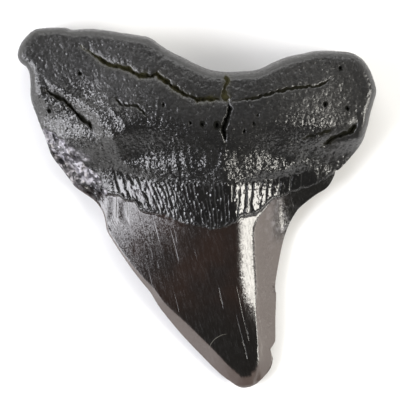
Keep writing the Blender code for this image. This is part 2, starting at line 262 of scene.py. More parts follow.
# Softboxes: name, radiance, colour, zenith and azimuth in degrees, distance, width and length
SOFTBOXES = [
    ("left_softbox", 12.5, (0.95, 0.95, 1.0), 53, 192, 0.9, 0.30, 0.6),
    ("upper_left_softbox", 6.0, (0.95, 0.95, 1.0), 38.5, 189, 0.9, 0.16, 0.5),
    ("low_left_softbox", 5.0, (0.95, 0.95, 1.0), 70, 205, 0.9, 0.26, 0.6),
    ("back_softbox", 3.0, (1.0, 1.0, 1.0), 46, 90, 1.0, 0.5, 0.9),
    ("right_softbox", 18.0, (1.0, 0.97, 0.9), 57, -14, 0.9, 0.3, 0.5),
]
# Half the table top's width, and the camera's place, in metres
TABLE_HALF = 1.6
CAMERA_PLACE = (0.000815, 0.00197, 1.006)


# Shape ------------------------------------------------------------------------------------------


def smooth_closed(stretches, per_span=10):
    """Each stretch as a dense polyline on one closed Catmull-Rom curve through all the points."""
    points = np.array([p for stretch in stretches for p in stretch[:-1]])
    t = np.linspace(0, 1, per_span, endpoint=False)[:, None]
    before, after, beyond = (np.roll(points, shift, axis=0) for shift in (1, -1, -2))
    spans = [
        0.5 * (2 * b + (c - a) * t + (2 * a - 5 * b + 4 * c - d) * t**2 + (3 * b - 3 * c + d - a) * t**3)
        for a, b, c, d in zip(before, points, after, beyond)
    ]
    curves = []
    start = 0
    for stretch in stretches:
        count = len(stretch) - 1
        curves.append(np.vstack(spans[start : start + count] + [np.array(stretch[-1:])]))
        start += count
    return curves


def along(curve, share):
    """Points at these shares of a polyline's length."""
    steps = np.linalg.norm(np.diff(curve, axis=0), axis=1)
    run = np.concatenate([[0], np.cumsum(steps)]) / steps.sum()
    return np.stack([np.interp(share, run, curve[:, k]) for k in (0, 1)], axis=-1)


def nearest_on(line, x, y):
    """Distance in plan from each point to a polyline, and the share of its length at the nearest place."""
    line = np.asarray(line)
    lengths = np.linalg.norm(np.diff(line, axis=0), axis=1)
    starts = np.concatenate([[0], np.cumsum(lengths)]) / lengths.sum()
    nearest = np.full(x.shape, np.inf)
    place = np.zeros(x.shape)
    for k, ((ax, ay), (bx, by)) in enumerate(zip(line[:-1], line[1:])):
        dx, dy = bx - ax, by - ay
        share = np.clip(((x - ax) * dx + (y - ay) * dy) / (dx * dx + dy * dy), 0, 1)
        gap = np.hypot(x - ax - share * dx, y - ay - share * dy)
        closer = gap < nearest
        nearest = np.where(closer, gap, nearest)
        place = np.where(closer, starts[k] + share * (starts[k + 1] - starts[k]), place)
    return nearest, place


def smooth(low, high, value):
    """0 below low, 1 above high, and a smooth rise between. low may be the larger."""
    t = np.clip((value - low) / (high - low), 0, 1)
    return t * t * (3 - 2 * t)


def soft_min(a, b, width):
    """The lower of two heights, with the crease between them rounded over this width."""
    return 0.5 * (a + b - np.sqrt((a - b) ** 2 + width**2))


def bump(x, y, centre, spread):
    """A round swelling, 1 at its centre, with its own spread along X and Y."""
    return np.exp(-(((x - centre[0]) / spread[0]) ** 2) - ((y - centre[1]) / spread[1]) ** 2)


def over_x(line, x):
    """A value that a list of pairs gives as a function of x, such as how far up a border lies."""
    xs, values = zip(*line)
    return np.interp(x, xs, values)


def eased(y, values):
    """A value given down the crown at CREST_Y, with its corners rounded."""
    reach = np.linspace(-2.4, 2.4, 9)
    return sum(np.interp(y + shift, CREST_Y, values) for shift in reach) / len(reach)


def ripple(x, y, size, layer):
    """Smooth unevenness from about -1 to 1, with features of this size. Each layer has its own."""
    values = [noise.noise((a / size, b / size, layer * 7.3)) for a, b in zip(x.ravel(), y.ravel())]
    return 1.6 * np.array(values).reshape(x.shape)


def facets(x, y, corners, spacing, tilt, seed):
    """Flat broken faces: heights of small planes, each tilted its own way, round scattered middles."""
    dice = np.random.default_rng(seed)
    (x0, y0), (x1, y1) = corners
    count = int((x1 - x0) * (y1 - y0) / spacing**2)
    middles = dice.uniform((x0, y0), (x1, y1), (count, 2))
    tilts = dice.normal(0, tilt, (count, 2))
    gaps = np.hypot(x[..., None] - middles[:, 0], y[..., None] - middles[:, 1])
    own = np.argmin(gaps, axis=-1)
    return (x - middles[own, 0]) * tilts[own, 0] + (y - middles[own, 1]) * tilts[own, 1]


def edge_height(x, y):
    """Height of the rim: thick on the root, thin on the crown, blunt along part of its left edge."""
    blunt = BLUNT_RISE * smooth(-36, -18, y) * smooth(-5, -16, y) * smooth(12, -6, x)
    return ROOT_EDGE + (CROWN_EDGE - ROOT_EDGE) * smooth(16, -14, y) + blunt


def root_top(x, y, edge):
    """The root: its lobes, its boss and the waist above the band, rounded down to the rim.

    The rounding is tight, but wide and gentle on the left lobe's lower flank.
    """
    on_left_lobe, on_right_lobe = smooth(-14, -28, x), smooth(22, 32, x)
    spread_x = np.where(x < BOSS_PLACE[0], BOSS_LEFT_SPREAD, BOSS_RIGHT_SPREAD)
    boss = np.exp(-(((x - BOSS_PLACE[0]) / spread_x) ** 4) - ((y - BOSS_PLACE[1]) / BOSS_SPREAD) ** 2)
    cap = ROOT_SHELF + BOSS_RISE * boss
    cap += sum(rise * bump(x, y, centre, spread) for centre, spread, rise in SWELLINGS)
    waist = WAIST_DROP + WAIST_SIDE_DROP * smooth(0, 24, np.abs(x - 5)) + 0.5 * smooth(10, 18, x)
    waist -= WAIST_LOBE_RISE * (on_left_lobe + on_right_lobe)
    in_waist = smooth(21.7 - 7 * on_left_lobe, 11.7 - 5 * on_left_lobe, y)
    lobe = LOBE_DROP * smooth(14, 46, np.abs(x)) * (1 - 0.5 * smooth(0, 10, x))
    cap -= lobe + waist * in_waist
    gentle = smooth(-10, -26, x) * smooth(31, 22, y)
    share = np.clip(edge / (ROOT_ROUNDING + (FLANK_ROUNDING - ROOT_ROUNDING) * gentle), 0, 1)
    power = 3.3 - 1.8 * gentle
    return edge_height(x, y) + (cap - edge_height(x, y)) * (1 - (1 - share) ** power) ** (1 / power)


def crown_top(x, y, edge):
    """The crown: a face that falls away on both sides of its crest, cut by the bevels of the edges.

    Gives the height and how much of a bevel each place is.
    """
    crest_x, crest_z, roll, fall, crease_x, bevel_width = (
        eased(y, values) for values in (CREST_X, CREST_HEIGHT, CREST_ROLL, LEFT_FALL, CREASE_X, BEVEL_WIDTH)
    )
    to_left, to_right = np.maximum(crest_x - x, 0), np.maximum(x - crest_x, 0)
    left_fall = fall * (0.1 * to_left + 0.0045 * to_left**2)
    onset = 1.6 + 1.6 * smooth(3, 9, y)
    strip_fall = STRIP_SLOPE * roll * (to_right - onset * (1 - np.exp(-to_right / onset)))
    past_crease = -soft_min(crease_x - x, 0, CREASE_SOFTNESS)
    face = crest_z - left_fall - strip_fall - (BEVEL_SLOPE - STRIP_SLOPE * roll) * past_crease
    shoulder = edge_height(x, y) + 0.3 * edge - 3 * smooth(-5, -11, y) - 6 * smooth(8, 2, x)
    on_shoulder = smooth(-0.3, 0.5, shoulder - face)
    face = -soft_min(-face, -shoulder, 0.8)
    left_side = smooth(3.5, 1.5, x - crest_x)
    in_bevel = -soft_min(edge - bevel_width, 0, CREASE_SOFTNESS) * left_side
    bevel = np.maximum(smooth(0, 0.15, in_bevel), smooth(0, 0.3, past_crease) * (1 - on_shoulder))
    bevel *= 1 - 0.75 * smooth(18.0, 20.5, x) * smooth(-10, -6, y)
    crease = np.exp(-(((x - crease_x) / 0.25) ** 2)) * smooth(0, -4, y) * smooth(-27, -20, y)
    return face - LEFT_BEVEL_SLOPE * in_bevel - 0.05 * crease, bevel


def plain_lingual(x, y, edge):
    """The lingual side before its damage and fine relief, with the marks of its zones."""
    wander = 0.18 * ripple(x, y, 1.1, 1)
    below = over_x(ENAMEL_LINE, x) - y + wander * smooth(12, 22, x + 30)
    band_depth = over_x(BAND_TOP, x) - over_x(ENAMEL_LINE, x)
    up_band = -below / band_depth
    aside = smooth(-17, -23, x) + smooth(22, 28, x)
    crown_share = smooth(-1.35 - 1.45 * aside, -0.95 + 0.25 * aside, -up_band)
    crown, bevel = crown_top(x, y, edge)
    height = (1 - crown_share) * root_top(x, y, edge) + crown_share * crown
    inside = smooth(0, 2.5, edge)

    # The enamel's edge: a step down with a low lip, both fainter where the crest meets the band
    faint = smooth(-11, -6, x) * smooth(9, 5, x)
    step = smooth(-0.12 - faint, 0.22 + 1.2 * faint, below)
    lip = np.exp(-(((below + 0.35) / 0.28) ** 2)) * (1 - faint)
    height += ENAMEL_LIP * lip * inside + ENAMEL_STEP * (1 - step) * crown_share

    # The band's upper ledge, and shallow streaks on the waist above it
    ledge = smooth(1.05, 0.97, up_band) * smooth(-0.2, 0.5, up_band)
    height -= BAND_LEDGE * ledge * bump(x, y, (15, 5), (12, 9))
    streaks = STREAK_DEPTH * ripple(x + 0.15 * y, 0.4 * y, 1.3, 10)
    height += streaks * smooth(19, 12, y) * smooth(0.9, 1.3, up_band) * inside

    band = smooth(0.0, 0.12, up_band) * smooth(1.0, 0.85, up_band)
    band *= smooth(-22, -19.5, x) * smooth(36, 28, x) * inside
    enamel = smooth(-0.1, 0.12, below)
    polish = smooth(4, 13, over_x(CRACK_ROW, x) - y) * smooth(38, 28, x)
    return height, {"enamel": enamel, "band": band, "bevel": bevel * enamel, "polish": polish}


class Damage:
    """The lingual side as its cracks, pores and chips are cut into it, with the marks they leave, among
    them the painted shade of its cracks and pores.
    """

    def __init__(self, x, y, edge, height):
        self.x, self.y, self.edge, self.height = x, y, edge, height
        self.inside = smooth(0, 2.5, edge)
        self.shake_x, self.shake_y = SHAKE * ripple(x, y, 1.3, 2), SHAKE * ripple(x, y, 1.3, 3)
        self.fine = ripple(x, y, 0.5, 4)
        self.fine_x, self.fine_y = FINE_SHAKE * self.fine, FINE_SHAKE * ripple(x, y, 0.5, 5)
        self.patchy = 0.5 + 0.5 * ripple(x, y, 2.4, 6)
        # Marks: the painted shade of cracks and pores, the dirt, and the wear
        self.open_crack, self.dirt, self.worn = (np.zeros(x.shape) for _ in range(3))

    def crack(self, route, half_width, depth, fill):
        """A crack that narrows to its ends, with painted shade inside it and just beyond its walls, and
        some of it filled by dirt.
        """
        shaken_x, shaken_y = self.x + self.shake_x + self.fine_x, self.y + self.shake_y + self.fine_y
        gap, share = nearest_on(route, shaken_x, shaken_y)
        taper = smooth(0, 0.2, share) * smooth(1.0, 0.88, share)
        width = half_width * (0.35 + 0.65 * taper) * (0.8 + 0.5 * self.patchy)
        cut = np.exp(-((gap / width) ** 4)) * (0.3 + 0.7 * taper)
        self.height -= depth * cut * self.inside
        # Painted shade in the crack, a little wider than its cut
        shade = np.exp(-((gap / (1.75 * width)) ** 4)) * (0.3 + 0.7 * taper)
        self.open_crack = np.maximum(self.open_crack, shade)
        stain = fill * np.exp(-((gap / (2.2 * width)) ** 2)) * np.clip(0.3 + self.patchy, 0, 1)
        self.dirt = np.maximum(self.dirt, stain)

    def furrow(self, route, half_width, depth):
        """A broad, shallow furrow that starts gently."""
        gap, share = nearest_on(route, self.x, self.y)
        self.height -= depth * np.exp(-((gap / half_width) ** 2)) * self.inside * smooth(0, 0.1, share)

    def ridge(self, route, half_width, rise):
        """A low ridge that fades at both ends."""
        gap, share = nearest_on(route, self.x + self.shake_x, self.y + self.shake_y)
        hump = rise * np.exp(-((gap / half_width) ** 2)) * self.inside
        self.height += hump * smooth(0, 0.15, share) * smooth(1, 0.85, share)

    def pore(self, centre, radius):
        """A small round hole, with painted shade round its margin."""
        gap = np.hypot(self.x - centre[0] + self.fine_x, 0.8 * (self.y - centre[1]) + self.fine_y)
        self.height -= PORE_DEPTH * smooth(radius, radius * 0.4, gap)
        # Painted shade round the pore
        self.open_crack = np.maximum(self.open_crack, smooth(radius * 1.9, radius * 1.3, gap))

    def break_shoulder(self):
        """Breaks the left shoulder back to small flat faces, worn grey, whose pale grey in the finish is
        partly a painted highlight.
        """
        x, y = self.x, self.y
        from_break, _ = nearest_on(BROKEN_SHOULDER, x + 2 * self.shake_x, y + 2 * self.shake_y)
        self.worn = smooth(4.2, 3.4, from_break)
        fracture = edge_height(x, y) - SHOULDER_LOSS * smooth(0, 1.5, self.edge) + 0.45 * self.edge
        self.height += self.worn * (np.minimum(self.height, fracture) - self.height)
        chunks = sum(facets(x, y, SHOULDER_CORNERS, *layer) for layer in SHOULDER_CHUNKS)
        self.height += self.worn * self.inside * chunks

    def shell_chip(self, centre, radius, depth):
        """A scooped chip in the shoulder's edge, less worn than the break around it."""
        share = np.hypot(self.x - centre[0], self.y - centre[1]) / (radius * (1 + 0.1 * self.shake_x))
        self.height -= depth * np.clip(1 - share**2, 0, 1) ** 0.7 * smooth(0, 1, self.edge)
        self.worn = self.worn * (1 - 0.85 * smooth(1.3, 1.05, share))

    def shoulder_lip(self):
        """A raised lip along the top of the broken shoulder, marked as worn and so painted pale, partly
        worn grey and partly a painted highlight.
        """
        from_lip, share = nearest_on(SHOULDER_LIP, self.x + self.shake_x, self.y + self.shake_y)
        self.height += LIP_RISE * np.exp(-((from_lip / 0.9) ** 2)) * smooth(0, 0.1, share)
        rubbed = 0.9 * np.exp(-((from_lip / 0.8) ** 2)) * smooth(0.15, 0.3, share)
        self.worn = np.maximum(self.worn, rubbed)

    def flake(self, line):
        """A thin flake lost from the enamel, to the left of a line down the crown."""
        xs, ys = zip(*line[::-1])
        beside = self.x - np.interp(self.y, ys, xs)
        reach = smooth(ys[0] - 0.2, ys[0] + 0.8, self.y) * smooth(ys[-1] + 0.2, ys[-1] - 0.4, self.y)
        self.height -= FLAKE_DEPTH * smooth(0.14, -0.12, beside) * smooth(-2.6, -0.6, beside) * reach

    def rubbed_patch(self, enamel):
        """A faint mottled patch on the enamel of the right shoulder."""
        mottled = smooth(-0.6, 0.7, ripple(self.x, self.y, 0.9, 9) + 0.5 * self.fine)
        rubbed = 0.22 * bump(self.x, self.y, (21.0, -3.5), (3.4, 5.5)) * mottled
        self.worn = np.maximum(self.worn, rubbed * enamel)


def damaged(x, y, edge, height, enamel):
    """The lingual side with all its damage, in the order in which it is cut."""
    damage = Damage(x, y, edge, height)
    for route, half_width, depth, fill in CRACKS.values():
        damage.crack(route, half_width, depth, fill)
    for name, half_width, depth in FURROWS:
        damage.furrow(CRACKS[name][0], half_width, depth)
    for route, half_width, rise in RIDGES:
        damage.ridge(route, half_width, rise)
    for centre, radius in PORES:
        damage.pore(centre, radius)
    damage.break_shoulder()
    for centre, radius, depth in SHELL_CHIPS:
        damage.shell_chip(centre, radius, depth)
    damage.shoulder_lip()
    for line in FLAKE_EDGES:
        damage.flake(line)
    damage.rubbed_patch(enamel)
    return damage


def labial_height(x, y, edge):
    """Height of the lower, labial side: flat where the tooth rests, rising unevenly to the rim."""
    root_share = np.clip(edge / LABIAL_ROUNDING, 0, 1)
    root = 1 - np.sqrt(root_share * (2 - root_share))
    crown = np.clip(1 - edge / LABIAL_CROWN_REACH, 0, 1) ** 2
    crown_share = smooth(22, 2, y)
    hollow = LABIAL_HOLLOW * bump(x, y, (2.0, 6.0), (17.0, 5.5)) - 0.05
    rise = edge_height(x, y) * (root * (1 - crown_share) + crown * crown_share)
    rise *= 1 - LABIAL_UNEVENNESS * smooth(0, 1.2, edge) * (1 + ripple(x, y, 3.0, 13))
    return np.maximum(rise + hollow * smooth(0, 4, edge), 0)


def packed(share, crowding):
    """Shares from 0 to 1, crowded towards both ends."""
    return (1 - crowding) * share + crowding * 0.5 * (1 - np.cos(np.pi * share))


class Plan:
    """Maps a square patch, u across and v from root margin to tip, onto the tooth's outline in plan."""

    def __init__(self):
        margin, right, tip, left = smooth_closed([ROOT_MARGIN, RIGHT_EDGE, TIP, LEFT_EDGE])
        self.margin, self.right = margin, right
        self.tip, self.left = tip[::-1], left[::-1]
        self.outline = np.vstack([margin, right[1:], tip[1:], left[1:]])

    def crossing(self, u, line):
        """For each u, the v at which the patch crosses a border that is a function of x."""
        v = np.linspace(0, 1, 600)
        across, down = np.meshgrid(u, v, indexing="ij")
        x, y = np.moveaxis(self.points(across, down), -1, 0)
        below = over_x(line, x) - y
        first = np.argmax(below > 0, axis=1)
        columns = np.arange(len(u))
        before, after = below[columns, first - 1], below[columns, first]
        return v[first - 1] - before / (after - before) * (v[1] - v[0])

    def rows(self, u):
        """For each u, v at every row of the mesh; rows follow the crack and both borders of the band."""
        borders = (CRACK_ROW, BAND_TOP, ENAMEL_LINE)
        crack, band, enamel = (self.crossing(u, line)[:, None] for line in borders)
        to_crack = np.linspace(0, 1, ROWS_TO_CRACK + 1)[:-1] ** 1.15
        to_band = packed(np.linspace(0, 1, ROWS_TO_BAND + 1)[:-1], 0.15)
        over_band = np.linspace(0, 1, ROWS_OVER_BAND + 1)[:-1]
        to_tip = np.linspace(0, 1, ROWS_TO_TIP + 1) ** 1.3
        stages = [
            crack * to_crack,
            crack + (band - crack) * to_band,
            band + (enamel - band) * over_band,
            enamel + (1 - enamel) * to_tip,
        ]
        return np.hstack(stages)

    def points(self, u, v):
        """A Coons patch between the four stretches of the outline."""
        top, bottom = along(self.margin, u), along(self.tip, u)
        left, right = along(self.left, v), along(self.right, v)
        u, v = u[..., None], v[..., None]
        ends_top = (1 - u) * self.margin[0] + u * self.margin[-1]
        ends_bottom = (1 - u) * self.tip[0] + u * self.tip[-1]
        return (1 - v) * (top - ends_top) + v * (bottom - ends_bottom) + (1 - u) * left + u * right


def lingual_side(plan, u, v):
    """Places of the lingual side's vertices, before the fine relief, and their marks."""
    x, y = np.moveaxis(plan.points(u, v), -1, 0)
    edge, _ = nearest_on(plan.outline, x, y)
    height, marks = plain_lingual(x, y, edge)
    damage = damaged(x, y, edge, height, marks["enamel"])
    height = np.maximum(damage.height, labial_height(x, y, edge) + 0.4 * np.minimum(edge, 4.0))
    groove_x = x + over_x(GROOVE_LEAN, x) * (y - 3.0)
    marks.update(open_crack=damage.open_crack, dirt=damage.dirt, worn=damage.worn)
    marks.update(grooves=np.interp(groove_x, GROOVE_X, GROOVE_COUNT), lingual=np.ones(x.shape))
    return np.stack([x, y, height], axis=-1), marks


def labial_side(plan, u, v, x, y):
    """Places of the labial side's vertices, set in a little at the rim, and how much is enamel."""
    width, length = x[:, -1:] - x[:, :1], y[:1] - y[-1:]
    u = (u + (1 - 2 * u) * RIM_INSET / width)[::2, ::2]
    v = (v + (1 - 2 * v) * RIM_INSET / length)[::2, ::2]
    x, y = np.moveaxis(plan.points(u, v), -1, 0)
    edge, _ = nearest_on(plan.outline, x, y)
    enamel = smooth(-0.1, 0.1, over_x(LABIAL_ENAMEL_LINE, x) - y)
    return np.stack([x, y, labial_height(x, y, edge)], axis=-1), enamel


def grid_faces(index):
    """Quads of a grid of vertex numbers, facing up."""
    corners = (index[:-1, :-1], index[1:, :-1], index[1:, 1:], index[:-1, 1:])
    return np.stack([c.ravel() for c in corners], axis=-1)


def rim(index):
    """Vertex numbers round a grid, and back to the first."""
    return np.concatenate([index[0, :-1], index[:-1, -1], index[-1, :0:-1], index[::-1, 0]])


def joined(upper, lower):
    """Faces of both sides, from their grids of vertex numbers, and of the strip between their rims."""
    around_upper, around_lower = rim(upper), rim(lower)
    a, b, c = around_upper[:-1:2], around_upper[1::2], around_upper[2::2]
    low_a, low_b = around_lower[:-1], around_lower[1:]
    faces = grid_faces(upper).tolist() + grid_faces(lower)[:, ::-1].tolist()
    faces += np.stack([a, b, low_a], axis=-1).tolist()
    faces += np.stack([b, c, low_b, low_a], axis=-1).tolist()
    return faces


def base_tooth():
    """The tooth before its fine relief: one closed mesh, with its marks on every vertex."""
    plan = Plan()
    across = packed(np.linspace(0, 1, COLUMNS + 1), 0.25)
    v = plan.rows(across).T
    u = np.broadcast_to(across, v.shape)
    lingual, marks = lingual_side(plan, u, v)
    labial, labial_enamel = labial_side(plan, u, v, lingual[..., 0], lingual[..., 1])
    upper = np.arange(v.size).reshape(v.shape)
    lower = v.size + np.arange(labial_enamel.size).reshape(labial_enamel.shape)
    places = np.vstack([lingual.reshape(-1, 3), labial.reshape(-1, 3)])
    places = (places - np.array([*MIDDLE, 0])) * MM
    mesh = bpy.data.meshes.new("tooth_surface")
    mesh.from_pydata(places.tolist(), [], joined(upper, lower))
    for name, values in marks.items():
        below = labial_enamel if name == "enamel" else np.zeros(labial_enamel.shape)
        layer = mesh.attributes.new(name, "FLOAT", "POINT")
        layer.data.foreach_set("value", np.append(values, below).astype(np.float32))
    mesh.shade_smooth()
    mesh.validate()
    piece = bpy.data.objects.new("fossil_tooth", mesh)
    bpy.context.collection.objects.link(piece)
    return piece


# Nodes ------------------------------------------------------------------------------------------


class Bench:
    """Adds nodes to a tree and links them. Most calls give back a socket, ready for the next."""

    def __init__(self, tree):
        self.tree = tree

    def add(self, kind, inputs=(), **settings):
        """A new node, linked to the inputs that are sockets and set to those that are values."""
        node = self.tree.nodes.new(kind)
        for name, value in settings.items():
            setattr(node, name, value)
        for key, value in dict(inputs).items():
            if isinstance(value, bpy.types.NodeSocket):
                self.tree.links.new(value, node.inputs[key])
            else:
                node.inputs[key].default_value = value
        return node

    def maths(self, operation, *values):
        return self.add("ShaderNodeMath", enumerate(values), operation=operation).outputs[0]

    def plus(self, first, second):
        return self.maths("ADD", first, second)

    def minus(self, first, second):
        return self.maths("SUBTRACT", first, second)

    def times(self, first, second):
        return self.maths("MULTIPLY", first, second)

    def vector(self, operation, *values):
        return self.add("ShaderNodeVectorMath", enumerate(values), operation=operation).outputs[0]

    def scaled(self, vector, amount):
        return self.add("ShaderNodeVectorMath", {0: vector, "Scale": amount}, operation="SCALE").outputs[0]

    def split(self, vector):
        """The three parts of a vector."""
        return self.add("ShaderNodeSeparateXYZ", {0: vector}).outputs

    def away(self, value, middle):
        """How far a value is from this one, either way."""
        return self.maths("ABSOLUTE", self.minus(value, middle))

    def ramp(self, value, low, high, to_low=0.0, to_high=1.0, kind="SMOOTHSTEP"):
        """The value carried from one range to another, and held at its ends."""
        inputs = {"Value": value, "From Min": low, "From Max": high, "To Min": to_low, "To Max": to_high}
        return self.add("ShaderNodeMapRange", inputs, interpolation_type=kind).outputs["Result"]

    def one_over(self, size):
        """The scale that gives features of this size, which is a plain number or a socket."""
        return 1 / size if isinstance(size, float) else self.maths("DIVIDE", 1.0, size)

    def noise(self, where, size, detail=2.0, seed=0.0):
        """Uneven values round 0.5, with features of this size in metres."""
        inputs = {"Vector": where, "W": seed, "Scale": self.one_over(size), "Detail": detail}
        return self.add("ShaderNodeTexNoise", inputs, noise_dimensions="4D").outputs[0]

    def cells(self, where, scale):
        """Scattered cells, each with a distance from its middle and a colour of its own."""
        return self.add("ShaderNodeTexVoronoi", {"Vector": where, "Scale": scale}).outputs


class FinishBench(Bench):
    """The finish's nodes, with the places and marks that its colour, gloss and grain all read."""

    def __init__(self, tree):
        super().__init__(tree)
        self.place = self.add("ShaderNodeTexCoord").outputs["Object"]
        self.x, self.y, _ = self.split(self.place)
        self.leaning = self.mapped(self.place, "Rotation", (0, 0, CROWN_LEAN))
        self.along_crown = self.mapped(self.leaning, "Scale", (1, 0.06, 1))
        self.enamel, self.band, self.bevel = self.mark("enamel"), self.mark("band"), self.mark("bevel")
        self.polish, self.worn, self.dirt = self.mark("polish"), self.mark("worn"), self.mark("dirt")
        self.from_middle = self.away(self.x, BAND_MIDDLE)
        self.cavity_shade = self.painted_cavity_shade()

    def mark(self, name):
        """One of the marks that the shape leaves on its vertices."""
        return self.add("ShaderNodeAttribute", attribute_name=name).outputs["Fac"]

    def mapped(self, vector, name, value):
        """A vector turned or scaled by the named input of a mapping node."""
        return self.add("ShaderNodeMapping", {"Vector": vector, name: value}).outputs[0]

    def colour(self, share, first, second):
        inputs = {0: share, 6: first, 7: second}
        return self.add("ShaderNodeMix", inputs, data_type="RGBA").outputs[2]

    def blend(self, share, first, second):
        return self.add("ShaderNodeMix", {0: share, 2: first, 3: second}, data_type="FLOAT").outputs[0]

    def grains(self, size):
        """Small flat grains of this size in metres: a random vector round zero on each, and a shade."""
        cells = self.cells(self.place, self.one_over(size))["Color"]
        return self.vector("SUBTRACT", cells, (0.5, 0.5, 0.5)), self.split(cells)[0]

    def tilted(self, normal, vector, amount):
        """The normal turned by a vector, and no longer of unit length."""
        return self.vector("ADD", normal, self.scaled(vector, amount))

    def painted_cavity_shade(self):
        """Painted shade in cracks, pores and grooves. That of the band's grooves is fainter in its shallow
        middle.
        """
        faintness = self.ramp(self.from_middle, *SHALLOW_REACH, 0.35, 1.0)
        groove = self.maths("POWER", self.mark("groove"), faintness)
        crack = self.ramp(self.mark("open_crack"), 0.25, 0.75)
        return self.maths("MAXIMUM", crack, self.times(groove, 0.8))


def dust_fibre(bench):
    """The arc of a thin dust fibre, on the lingual side alone."""
    from_bend = bench.vector("SUBTRACT", bench.place, (*DUST_BEND, 0))
    flat = bench.vector("MULTIPLY", from_bend, (1, 1, 0))
    reach = bench.add("ShaderNodeVectorMath", {0: flat}, operation="LENGTH").outputs["Value"]
    fibre = bench.ramp(bench.away(reach, DUST_RADIUS), *FIBRE_FADE)
    fibre = bench.times(fibre, bench.ramp(bench.x, 8 * MM, 6 * MM))
    fibre = bench.times(fibre, bench.ramp(bench.y, -35.2 * MM, -34.8 * MM))
    return bench.times(fibre, bench.mark("lingual"))


def fossil_colour(bench, chip_shade):
    """Black root, brown-black enamel that turns black at the tip and right, grey breaks whose palest chips
    are partly a painted highlight, painted shade in cracks, pores and grooves, and olive dirt.
    """
    cloud = bench.noise(bench.place, 0.009, 3.0, 1.0)
    root = bench.colour(bench.ramp(cloud, 0.35, 0.65), *ROOT_BLACKS)
    brown = bench.colour(bench.ramp(cloud, 0.35, 0.7), *ENAMEL_BROWNS)
    brown = bench.colour(bench.ramp(bench.y, -0.034, -0.018), TIP_BLACK, brown)
    brown = bench.colour(bench.ramp(bench.x, 0.019, 0.024), brown, SHOULDER_BLACK)
    base = bench.colour(bench.enamel, root, brown)
    base = bench.colour(bench.bevel, base, BEVEL_BROWN)

    # Worn grey breaks, with pale lavender chips and lip that are partly a painted highlight of the left
    # light
    pale_chips_and_glints = bench.ramp(bench.noise(bench.place, 0.0012, 2.0, 2.0), 0.36, 0.64)
    pale_chips_and_glints = bench.times(pale_chips_and_glints, bench.ramp(chip_shade, 0.15, 0.6))
    base = bench.colour(bench.times(bench.worn, 0.9), base, bench.colour(pale_chips_and_glints, *BREAK_GREYS_AND_HIGHLIGHTS))
    base = bench.colour(bench.times(dust_fibre(bench), 0.3), base, FIBRE_PALE)
    # Painted shade in cracks, pores and grooves
    base = bench.colour(bench.cavity_shade, base, CAVITY_SHADE_BLACK)
    olive = bench.colour(bench.noise(bench.place, 0.0008, 2.0, 3.0), *DIRT_OLIVES)
    return bench.colour(bench.times(bench.dirt, 0.65), base, olive)


def fossil_gloss(bench):
    """Roughness: a satin root, more polished low down, and glossy enamel brushed along the crown."""
    fine = bench.noise(bench.place, 0.0006, 2.0, 4.0)
    satin, shiny = (bench.ramp(fine, 0.3, 0.7, *ends) for ends in ((0.31, 0.41), (0.22, 0.32)))
    brushed = bench.noise(bench.along_crown, 0.0004, 2.0, 5.0)
    enamel_rough = bench.ramp(brushed, 0.35, 0.7, 0.14, 0.28)
    rough = bench.blend(bench.enamel, bench.blend(bench.polish, satin, shiny), enamel_rough)
    rough = bench.blend(bench.bevel, rough, 0.34)
    rough = bench.blend(bench.band, rough, bench.ramp(bench.from_middle, *SHALLOW_REACH, 0.12, 0.17))
    rough = bench.blend(bench.worn, rough, 0.3)
    return bench.blend(bench.cavity_shade, rough, 0.8)


def root_grain(bench):
    """Height in millimetres of the root's lumps, dents and pits, deeper on its upright walls."""
    upright = bench.split(bench.add("ShaderNodeNewGeometry").outputs["Normal"])[2]
    steep = bench.ramp(upright, 0.6, 0.25)
    depth = bench.blend(steep, bench.blend(bench.polish, 0.06, 0.18), 0.3)
    lumps = bench.times(bench.noise(bench.place, 0.0007, 1.0, 6.0), depth)
    dents = bench.times(bench.noise(bench.place, 0.0024, 2.0, 11.0), bench.times(steep, 0.7))
    lumps = bench.times(bench.plus(lumps, dents), bench.blend(bench.band, 1.0, 0.3))
    from_pit = bench.cells(bench.place, PITS_PER_METRE)["Distance"]
    return bench.plus(lumps, bench.ramp(from_pit, 0.0, 0.45, -0.05, 0.0))


def enamel_scratches(bench):
    """Height in millimetres of the enamel's fine brushing, its few deep scratches and its specks."""
    brushing = bench.times(bench.noise(bench.along_crown, 0.00035, 2.0, 7.0), 0.012)
    along_scratch = bench.mapped(bench.leaning, "Scale", (1, 0.025, 0.2))
    deep = bench.ramp(bench.noise(along_scratch, 0.0005, 0.0, 9.0), 0.73, 0.79, 0.0, -0.03)
    specks = bench.times(bench.noise(bench.place, 0.0004, 2.0, 8.0), 0.02)
    height = bench.plus(bench.plus(brushing, deep), specks)
    return bench.times(height, bench.blend(bench.bevel, 1.0, 0.25))


def fossil_normal(bench, sand, chips):
    """The grain, with sparkling sand all over and turned chips on the breaks."""
    height = bench.blend(bench.enamel, root_grain(bench), enamel_scratches(bench))
    relief = bench.add("ShaderNodeBump", {"Height": height, "Strength": 1.0, "Distance": MM})
    patchy = bench.ramp(bench.noise(bench.place, 0.005, 2.0, 10.0), 0.35, 0.65, 0.6, 1.3)
    on_root = bench.times(bench.minus(1.0, bench.enamel), bench.blend(bench.polish, 0.08, 0.3))
    sandy = bench.plus(bench.times(on_root, patchy), 0.08)
    sandy = bench.times(sandy, bench.blend(bench.band, 1.0, 0.15))
    normal = bench.tilted(relief.outputs["Normal"], sand, sandy)
    normal = bench.tilted(normal, chips, bench.times(bench.maths("POWER", bench.worn, 2.0), 1.1))
    return bench.vector("NORMALIZE", normal)


